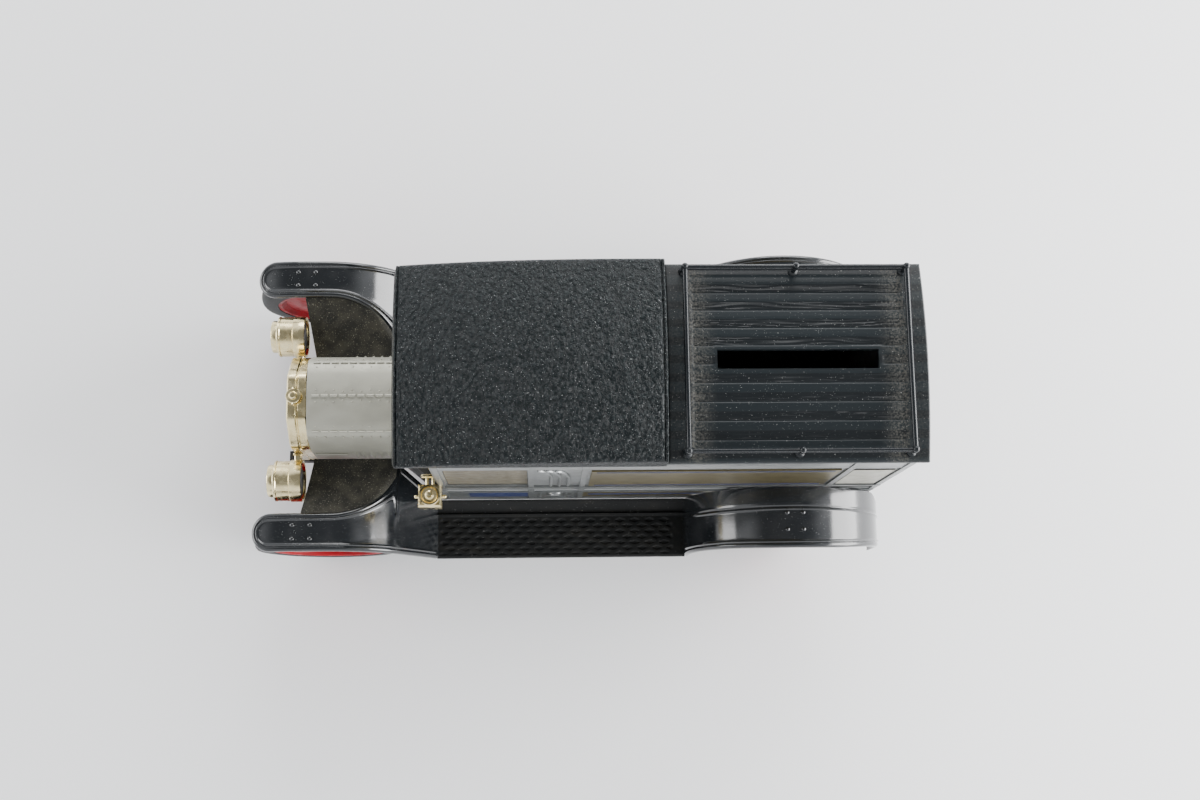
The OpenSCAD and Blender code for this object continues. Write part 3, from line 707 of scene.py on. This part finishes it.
def make_rear_fenders():
    """Wheel arches that narrow to the rear, with a bead beside each edge and four rivets on top."""
    start = math.asin((BOARD_Z - AXLE_Z) / REAR_FENDER_R)
    last = math.radians(190)
    y0, y1 = REAR_FENDER_LOW[1], REAR_FENDER_HIGH[1]
    near_out = [0, 0.06, 0.15, 0.3, 0.5, 0.75, 1.0, 1.15, 1.25, 1.35, 1.5, 1.6, 1.7, 1.85, 2.0, 2.3]
    near_bead = [6.6, 6.4, 6.2, 6.0, 5.85, 5.7, 5.5, 5.3, 5.1, 4.9, 4.7, 4, 3, 2, 1, 0]
    ys = np.concatenate([y1 - np.array(near_out), np.linspace(y1 - 3, y0 + 7, 5), y0 + np.array(near_bead)])
    ga, gy = np.meshgrid(np.linspace(start, last, 90), ys, indexing="ij")
    relief = edge_relief(y1 - gy) + 0.3 * ridge(gy, y0 + 5.8, 0.22) - 0.2 * ridge(gy, y0 + 5.2, 0.22) - 0.02
    relief = relief + 0.12 * (1 - smooth(gy, y0 + 4.8, y0 + 5.3))
    relief = relief - 0.5 * (1 - smooth((last - ga) * REAR_FENDER_R, 0, 0.6))
    back = -np.cos(ga)
    taper = 0.56 * smooth(-back, 0.1, 0.95) + 1.95 * np.clip(back, 0, 1) ** 2.6
    corner = 3.6 * np.clip((back - 0.85) / 0.15, 0, 1) ** 1.8
    gy = gy - taper * smooth(gy, y0 + 7, y1 - 2.3) + corner * (1 - smooth(gy, y0, y0 + 5))
    radius = REAR_FENDER_R + relief
    top = np.stack([REAR_X + radius * np.cos(ga), gy, AXLE_Z + radius * np.sin(ga)], axis=-1)
    under = REAR_FENDER_R - 1.15
    bottom = np.stack([REAR_X + under * np.cos(ga), gy, AXLE_Z + under * np.sin(ga)], axis=-1)
    rivets = [dome((REAR_X + dx, 32.6 + dy, AXLE_Z + REAR_FENDER_R - 0.25), 0.62, 0.45)
              for dx in (-2.1, 2.1) for dy in (-2.2, 2.2)]
    verts, faces = join([slab(top, bottom)] + rivets)
    on_both_sides("rear_mudguard", verts, faces, GLOSS, "gloss_black", "rear_fender", angle=60)


def make_running_boards():
    """Board with staggered diamond recesses, an inner rib and an inner edge that slopes up."""
    x0, x1 = BOARD_LOW[0] - 0.5, BOARD_HIGH[0] + 0.5
    y0, y1 = BOARD_LOW[1], BOARD_HIGH[1]
    xs = np.arange(x0, x1 + 0.01, (x1 - x0) / 250)
    ys = np.concatenate([np.linspace(y0, 26.2, 6), [26.5, 26.65, 26.8, 27.0, 27.2, 27.35, 27.5],
                         np.linspace(27.8, y1 - 0.5, 52), [y1 - 0.3, y1 - 0.15, y1 - 0.05, y1]])
    gx, gy = np.meshgrid(xs, ys, indexing="ij")
    pitch_x, pitch_y, tread_y = 4.1, 1.55, 28.0
    row = np.floor((gy - tread_y) / pitch_y)
    v = ((gy - tread_y) / pitch_y - row - 0.5) * pitch_y
    u = (((gx / pitch_x + 0.5 * (row % 2)) % 1) - 0.5) * pitch_x
    lens = smooth(1 - (np.abs(u) / 1.75 + np.abs(v) / 0.72), 0, 0.4)
    field = smooth(gx, x0 + 3, x0 + 4) * (1 - smooth(gx, x1 - 1.5, x1 - 0.5))
    field = field * smooth(gy, 27.7, 27.9) * (1 - smooth(gy, y1 - 1.2, y1 - 0.8))
    z = BOARD_Z - 0.32 * lens * field
    z = z + 0.75 * ridge(gy, 27.0, 0.35) + 2.2 * (1 - smooth(gy, y0, 26.6))
    z = z - 0.4 * (1 - smooth(y1 - gy, 0, 0.4))
    top = np.stack([gx, gy, z], axis=-1)
    bottom = np.stack([gx, gy, np.full_like(z, BOARD_LOW[2] + 1.0)], axis=-1)
    verts, faces = slab(top, bottom)
    on_both_sides("tread_board", verts, faces, TREAD, "matte_black", "running_board", angle=40)


def make_aprons():
    """Dusty splash aprons between the hood and the front fenders."""
    y_in, y_out = mm_box("apron_left")[0][1], FENDER_IN + 0.3
    front_x, front_sweep = 68.4, 2.4
    inner_z, rise = 34.6, 7.4
    rows = []
    for t in np.linspace(0, 1, 24):
        y = y_in + (y_out - y_in) * t
        front = front_x + front_sweep * t
        rear = [x for x in np.linspace(front, COWL_END + 0.4, 240) if float(fender_inner_y(x)) + 0.5 > y]
        rows.append([(x, y) for x in np.linspace(front, rear[-1], 30)])
    plan = np.array(rows)
    z = inner_z + rise * ((plan[..., 1] - y_in) / (y_out - y_in)) ** 1.3
    z = np.minimum(z, fender_z(plan[..., 0]) - 0.5)
    top = np.concatenate([plan, z[..., None]], axis=-1)
    bottom = top - np.array([0, 0, 1.0])
    verts, faces = slab(top, bottom)
    on_both_sides("splash_apron", verts, faces, MATTE, "matte_black", "apron", angle=40)


def make_hood():
    """Folded hood with a middle hinge, two side hinges with rivets, louvres and a side rib."""
    x0, x1 = HOOD_LOW[0], HOOD_HIGH[0]
    half = np.array([(0, 53.7), (3, 53.5), (6, 53.0), (8.4, 52.3), (9.6, 51.4), (10.4, 50.0), (11.6, 46.4),
                     (12.4, 43.6), (12.75, 41.4), (12.8, 39), (12.8, 24.05)])
    section = np.concatenate([half[::-1], (half * [-1, 1])[1:]])
    xs = np.array([x0, x0 + 0.2, *np.linspace(x0 + 1, x1 - 1, 12), x1 - 0.2, x1])
    top = np.array([[(x, y, z) for y, z in section] for x in xs])
    inner = section * [0.91, 1]
    inner[:, 1] = np.minimum(inner[:, 1], 52.3)
    bottom = np.array([[(x, y, z) for y, z in inner] for x in xs])
    parts = [slab(top, bottom)]
    knuckle, hinge_z = 2.35, 53.75
    side_hinge_y, side_hinge_z = 9.15, 52.0
    for k in range(int((x1 - x0) / knuckle)):
        a = x0 + k * knuckle
        middle = a + knuckle / 2
        parts.append(tube([(a + 0.25, 0, hinge_z), (a + knuckle - 0.25, 0, hinge_z)], 0.42, 10))
        for side in (-1, 1):
            y = side * side_hinge_y
            pin = [(a + 0.2, y, side_hinge_z), (a + knuckle - 0.3, y, side_hinge_z)]
            parts.append(dome((middle, side * (1.15 if k % 2 else 1.6), 53.55), 0.26, 0.22, 8, 3))
            parts.append(tube(pin, 0.26, 8))
            parts.append(dome((middle, side * (7.9 - 0.3 * (k % 2)), 52.35), 0.26, 0.24, 8, 3))
            parts.append(dome((middle, side * (10.15 + 0.15 * (k % 2)), 50.4), 0.28, 0.3, 8, 3))
    verts, faces = join(parts)
    add_piece("hinged_hood", verts, faces, HOOD, "hood_silver", replaces=("hood",), angle=40)
    fins = []
    for side in (-1, 1):
        for k in range(5):
            x = x0 + 1.6 + 2.2 * k
            y = side * 12.75
            fins.append(loft([[(x, y, z), (x + 1.5, y, z), (x + 0.5, y + side * reach, z)]
                              for z, reach in ((34.4, 0.05), (35.2, 0.75), (40.6, 0.75), (41.6, 0.05))]))
        near, far = sorted((side * 12.7, side * 13.2))
        fins.append(block((x0 + 13.2, near, 38.2), (x1 - 0.6, far, 39.6), 0.15))
    verts, faces = join(fins)
    add_piece("hood_louvres", verts, faces, HOOD, "hood_silver", angle=30)


def outline_ring(x, inset, base):
    """Radiator outline at x, inset from its edge, with softened corners."""
    y, low = 12.3, base
    peak = RADIATOR_HIGH[2] - 0.79
    corners = [(-y, low), (y, low), (y, 44.7), (5.9, peak), (-5.9, peak), (-y, 44.7)]
    centre = np.array([0, 40.0])
    ring = []
    n = len(corners)
    for i in range(n):
        before, here, after = (np.array(corners[(i + k) % n]) for k in (-1, 0, 1))
        for share in (0.0, 0.5, 1.0):
            a = here + (before - here) / np.linalg.norm(before - here) * 1.2
            b = here + (after - here) / np.linalg.norm(after - here) * 1.2
            p = (1 - share) ** 2 * a + 2 * share * (1 - share) * here + share ** 2 * b
            away = p - centre
            p = p - away / np.abs(away).max() * inset
            ring.append((x, p[0], p[1]))
    return ring


def make_radiator():
    """Plated surround with a middle groove, and the filler cap with its wings."""
    x0, x1 = RADIATOR_LOW[0], RADIATOR_HIGH[0]
    base = RADIATOR_LOW[2] + 0.02
    stations = [(x0, 0.35), (x0 + 0.3, 0.0), (x0 + 2.2, 0.0), (x0 + 2.5, 0.25), (x0 + 2.7, 0.25),
                (x0 + 3.0, 0.0), (x1 - 0.35, 0.0), (x1, 0.35), (x1, 2.1), (x1 - 0.5, 2.3), (x0, 2.3)]
    rings = [outline_ring(x, inset, base) for x, inset in stations]
    verts, faces = loft(rings + [rings[0]], cap=False)
    add_piece("radiator_surround", verts, faces, GOLD, "gold_plate", replaces=("radiator_shell",), angle=35)
    cap_low, cap_high = mm_box("radiator_cap")
    centre = np.array([(cap_low[0] + cap_high[0]) / 2, 0, RADIATOR_HIGH[2] - 0.8])
    profile = [(0, 0), (0, 1.5), (0.35, 1.5), (0.5, 1.3), (0.9, 1.3), (1.0, 1.85), (1.15, 1.95), (1.75, 1.95),
               (1.95, 1.8), (2.05, 1.1), (2.5, 1.0), (2.9, 0.7), (3.05, 0)]
    cap = [lathe(profile, 28, "z", centre)]
    cap.append(tube([tuple(centre + [0, -2.2, 1.5]), tuple(centre + [0, 2.2, 1.5])], 0.35, 10))
    verts, faces = join(cap)
    add_piece("filler_cap", verts, faces, GOLD, "gold_plate", replaces=("radiator_cap",), angle=35)


def make_headlamps():
    """Stepped lamp drums with beads, a domed lens and an open back, on square brackets; a dark disc of
    painted shade sits in the open back.
    """
    x = LAMP_X
    profile = [(x + 5.5, 0), (x + 5.5, 4.3), (x + 0.5, 4.8), (x + 0.1, 5.0), (x, 5.3), (x + 0.15, 5.55),
               (x + 0.6, 5.6), (x + 2.9, 5.6), (x + 3.1, 5.55), (x + 3.3, 5.35), (x + 6.6, 5.3),
               (x + 6.8, 5.45), (x + 7.2, 5.45), (x + 7.4, 5.2), (x + 7.5, 4.5), (x + 7.7, 4.35),
               (x + 8.8, 4.35), (x + 9.1, 4.2), (x + 9.3, 3.6), (x + 9.42, 2.4), (x + 9.48, 0)]
    drum = lathe(profile, 48, "x", np.array([0, LAMP_Y, LAMP_Z]))
    arm = block((x + 0.6, 12.5, LAMP_Z - 1), (x + 2.4, LAMP_Y - 5.2, LAMP_Z + 1), 0.25)
    foot = block((x + 0.3, 12.35, LAMP_Z - 1.6), (x + 2.7, 13.0, LAMP_Z + 1.6), 0.2)
    verts, faces = join([drum, arm, foot])
    on_both_sides("lamp_drum", verts, faces, GOLD, "gold_plate", "headlamp", angle=30)
    # painted shade: a dark disc just inside each lamp's open back stands for the shade in the hollow drum
    plate = [(x + 0.7, 0), (x + 0.7, 4.5), (x + 0.9, 4.5), (x + 0.95, 0)]
    verts, faces = lathe(plate, 32, "x", np.array([0, LAMP_Y, LAMP_Z]))
    on_both_sides("lamp_shade_disc", verts, faces, LAMP_HOLLOW_SHADE, "gold_plate", angle=30)


def make_cowl_lamps():
    """Carriage lamps: square body with a dished top, side knobs and a forked bracket."""
    cx, cy = 36.2, 26.0
    levels = [(46.9, 1.2), (47.6, 2.2), (48.2, 2.95), (52.6, 2.95), (53.2, 2.5), (53.6, 2.5)]
    body = loft([[(cx + sx * w, cy + sy * w, z) for sx, sy in ((-1, -1), (1, -1), (1, 1), (-1, 1))]
                 for z, w in levels])
    dish = lathe([(53.5, 0), (53.5, 2.6), (54.0, 2.75), (54.6, 2.75), (54.9, 2.6), (54.9, 2.2), (54.4, 1.9),
                  (54.3, 1.2), (54.5, 0.8), (55.3, 0.75), (56.0, 0.6), (56.15, 0)], 32, "z",
                 np.array([cx, cy, 0]))
    knobs = []
    for s in (-1, 1):
        knobs.append(tube([(cx + s * 2.8, cy, 51), (cx + s * 3.5, cy, 51)], 0.45, 10))
        knobs.append(ball((cx + s * 3.7, cy, 51), 0.5))
        knobs.append(tube([(cx + s * 0.8, BODY_Y - 1.6, 52.6), (cx + s * 0.8, cy - 2.2, 52.6)], 0.45, 10))
    base = [(46.0, 0), (46.0, 0.5), (46.4, 0.9), (47.0, 1.2), (47.3, 0)]
    plate = block((cx - 2.2, BODY_Y - 2.2, 50.2), (cx + 2.2, BODY_Y - 1.3, 54.6), 0.3)
    verts, faces = join([body, dish, lathe(base, 20, "z", np.array([cx, cy, 0])), plate] + knobs)
    on_both_sides("carriage_lamp", verts, faces, GOLD, "gold_plate", "cowl_lamp", angle=30)


def make_side_trim():
    """Cornice, curved mouldings, belt strips and the printed panels on both sides of the body."""
    y = BODY_Y
    cornice = []
    for x in (mm_box("body_side_left")[0][0] + 0.1, BODY_FRONT - 0.1):
        cornice.append([(x, y - 0.3, 77.0), (x, y + 0.25, 77.2), (x, y + 0.35, 78.0), (x, y + 0.15, 79.0),
                        (x, y + 0.2, 86.0), (x, y + 0.6, 87.5), (x, y + 0.75, 89.2), (x, y - 0.3, 89.2)])
    parts = [loft(cornice)]
    window_top, window_foot = 75.6, 49.4
    for k in range(3):
        arc = [(8.6 - k * 2.2 - 3.4 * math.sin(a), y + 0.15, window_top - 12 * (1 - math.cos(a)) - k * 0.5)
               for a in np.linspace(0, 1.5, 12)]
        arc.append((arc[-1][0], y + 0.15, window_foot))
        parts.append(tube(arc, 0.42, 8))
    rose = [(y, 0), (y, 2.0), (y + 0.5, 1.9), (y + 0.6, 1.3), (y + 0.3, 1.1), (y + 0.35, 0.6), (y + 0.6, 0)]
    parts.append(lathe(rose, 24, "y", np.array([4.0, 0, 33.0])))
    for x in (-1.2, 0.6, 7.6, 9.0):
        parts.append(block((x, y - 0.1, 27), (x + 0.6, y + 0.45, 38.2), 0.1))
    for z in (40.6, 44.8):
        parts.append(tube([(-80, y + 0.05, z), (BODY_FRONT - 1, y + 0.05, z)], 0.3, 8))
    verts, faces = join(parts)
    on_both_sides("side_moulding", verts, faces, SILVER, "silver_body", angle=35)
    verts, faces = block((-48, y - 0.05, 27.5), (-3, y + 0.3, 37.2), 0.1)
    on_both_sides("belt_foil", verts, faces, LABEL, "gold_label", angle=30)
    navy = [block((11.2, y - 0.05, 28), (27, y + 0.3, 37), 0.1)]
    navy.append(block((-46, y + 0.2, 31.4), (-5, y + 0.4, 33.2), 0.05))
    navy += [block((-64.6, y + 0.3, z), (-5.9, y + 0.5, z + 0.9), 0.05) for z in (50.4, 72.6)]
    verts, faces = join(navy)
    on_both_sides("painted_bands", verts, faces, NAVY, "gold_label", angle=30)
    verts, faces = block((-79.4, y - 0.05, window_foot), (-69.0, y + 0.3, 73.6), 0.15)
    on_both_sides("rear_side_panel", verts, faces, PALE, "silver_body", angle=30)


def make_wheel(end, centre_x, y0, y1, body):
    """A red wheel with a smooth inner dish and a spoked face, and its ribbed tyre."""
    centre = np.array([centre_x, 0, AXLE_Z])
    disc = [(y0 - 1.2, 0), (y0 - 1.2, 2.2), (y0 - 1.0, 2.6), (y0 - 0.4, 2.9), (y0 + 0.2, 5.5), (y0 + 0.9, 10),
            (y0 + 1.5, 13.6), (y0 + 1.0, 14.3), (y0 + 0.3, 14.9), (y0 + 0.15, 15.6), (y0 + 0.3, 15.95),
            (y1 - 0.3, 15.95), (y1 - 0.15, 15.6), (y1 - 0.3, 15.0), (y1 - 0.9, 14.6), (y0 + 2.4, 14.4),
            (y0 + 2.4, 3.8), (y1 - 1.3, 3.7), (y1 - 0.9, 3.3), (y1 - 0.8, 2.5), (y1 - 0.4, 2.3),
            (y1 - 0.3, 1.9), (y1 - 0.3, 0)]
    parts = [lathe(disc, 72, "y", centre)]
    spokes = 12
    for k in range(spokes):
        a = 2 * math.pi * k / spokes
        out = np.array([math.cos(a), 0, math.sin(a)])
        across = np.array([-math.sin(a), 0, math.cos(a)])
        parts.append(loft([[centre + out * r + across * u * w + np.array([0, y0 + 2.35 + v * 1.25, 0])
                            for u, v in ((-1, 0), (-0.8, 0.75), (0, 1), (0.8, 0.75), (1, 0))]
                           for r, w in ((3.0, 0.85), (8.0, 0.6), (13.0, 0.55), (14.8, 0.95))]))
    verts, faces = join(parts)
    ring = [(y0 + 0.05, 15.9), (y0, 16.4), (y0 + 0.02, 18.0), (y0 + 0.15, 19.0), (y0 + 0.35, 19.6)]
    for t, groove in zip(np.linspace(0, 1, 37), [0.16, 0, 0, 0] * 10):
        ring.append((y0 + 0.7 + (y1 - y0 - 1.4) * t, TYRE_R - 0.55 * (2 * t - 1) ** 2 - groove))
    ring += [(y1 - 0.35, 19.6), (y1 - 0.15, 19.0), (y1 - 0.02, 18.0), (y1, 16.4), (y1 - 0.05, 15.9)]
    tyre_verts, tyre_faces = lathe(ring + ring[:1], 120, "y", centre)
    for side in ("left", "right"):
        flip = mirror_y if side == "right" else list
        add_piece(f"spoked_wheel_{end}_{side}", flip(verts), faces, RED, "wheel_red", body=body,
                  replaces=(f"wheel_{end}_{side}",), angle=35)
        add_piece(f"ribbed_tyre_{end}_{side}", flip(tyre_verts), tyre_faces, TYRE, "tyre_black", body=body,
                  replaces=(f"tyre_{end}_{side}",), angle=50)


make_cargo_roof()
make_cab_roof()
make_rail()
make_front_fenders()
make_rear_fenders()
make_running_boards()
make_aprons()
make_hood()
make_radiator()
make_headlamps()
make_cowl_lamps()
make_side_trim()
make_wheel("front", FRONT_X, TYRE_LOW[1], TYRE_HIGH[1], "front_wheels")
make_wheel("rear", REAR_X, REAR_LOW[1], REAR_HIGH[1], "rear_wheels")
# the rivets are modelled on the fenders, so one fender stands for their node
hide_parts("front_fender_left", "fender_rivets")

NODE_FINISH = {
    "chassis": BLACK, "coin_plug": BLACK, "body_side_left": SILVER, "body_side_right": SILVER,
    "body_rear": SILVER, "body_front": SILVER, "rear_door": SILVER, "cowl": BLACK,
    "radiator_grille": GRILLE, "windscreen_frame": GOLD, "windscreen_glass": SCREEN, "chassis_screws": STEEL,
    "window_panel_left": CREAM, "window_panel_right": CREAM, "side_label_left": LABEL,
    "side_label_right": LABEL, "front_axle": STEEL, "rear_axle": STEEL}
for node_name, finish in NODE_FINISH.items():
    node = nodes[node_name]
    node.data.materials.clear()
    node.data.materials.append(finish)
    # every node's edges are softened but those of the side walls with their shallow mouldings
    if not node_name.startswith("body_side"):
        edge = node.modifiers.new("edge", "BEVEL")
        edge.width = 0.15 * MM
        edge.segments = 2
        edge.limit_method = "ANGLE"


# ---------------------------------------------------- floor, light and camera
LIT_POINT = (0, 0, 0.03)


def make_floor():
    """The pale table under the van."""
    size = 1.6
    mesh = bpy.data.meshes.new("floor")
    corners = [(-size, -size, 0), (size, -size, 0), (size, size, 0), (-size, size, 0)]
    mesh.from_pydata(corners, [], [(0, 1, 2, 3)])
    obj = bpy.data.objects.new("floor", mesh)
    bpy.context.scene.collection.objects.link(obj)
    s = Shader("pale_floor", (0.95, 0.95, 0.955), 0.7, specular=0.2)
    mesh.materials.append(s.done())


def add_light(name, place, size, power):
    """A soft rectangular light aimed at the middle of the van."""
    light = bpy.data.lights.new(name, "AREA")
    light.shape = "RECTANGLE"
    light.size, light.size_y = size
    light.energy = power
    obj = bpy.data.objects.new(name, light)
    obj.location = place
    obj.rotation_euler = (Vector(LIT_POINT) - Vector(place)).to_track_quat("-Z", "Y").to_euler()
    bpy.context.scene.collection.objects.link(obj)


def make_world(beside, overhead):
    """A surround with one strength up to about 45 degrees and another overhead."""
    world = bpy.data.worlds.new("studio")
    world.use_nodes = True
    tree = world.node_tree
    background = tree.nodes["Background"]
    background.inputs["Color"].default_value = (0.95, 0.97, 1.0, 1)
    coords = tree.nodes.new("ShaderNodeTexCoord")
    split = tree.nodes.new("ShaderNodeSeparateXYZ")
    fade = tree.nodes.new("ShaderNodeMapRange")
    for key, number in (("From Min", 0.70), ("From Max", 0.88), ("To Min", beside), ("To Max", overhead)):
        fade.inputs[key].default_value = number
    tree.links.new(coords.outputs["Generated"], split.inputs[0])
    tree.links.new(split.outputs["Z"], fade.inputs["Value"])
    tree.links.new(fade.outputs["Result"], background.inputs["Strength"])
    bpy.context.scene.world = world


make_floor()
make_world(1.55, 0.3)
add_light("rear_softbox", (-0.62, 0.02, 0.2), (0.8, 0.4), 15.0)
add_light("front_softbox", (0.8, -0.1, 0.3), (0.5, 0.35), 4.0)
add_light("far_softbox", (-0.2, -0.95, 0.55), (0.9, 0.4), 10.0)

camera_data = bpy.data.cameras.new("camera")
camera_data.lens = 44.69
camera_data.sensor_width = 36
camera_data.clip_start = 0.01
camera = bpy.data.objects.new("camera", camera_data)
camera.location = (0.00875, 0.07485, 0.43328)
camera.rotation_euler = tuple(math.radians(a) for a in (10.966, -2.337, 179.255))
bpy.context.scene.collection.objects.link(camera)
bpy.context.scene.camera = camera
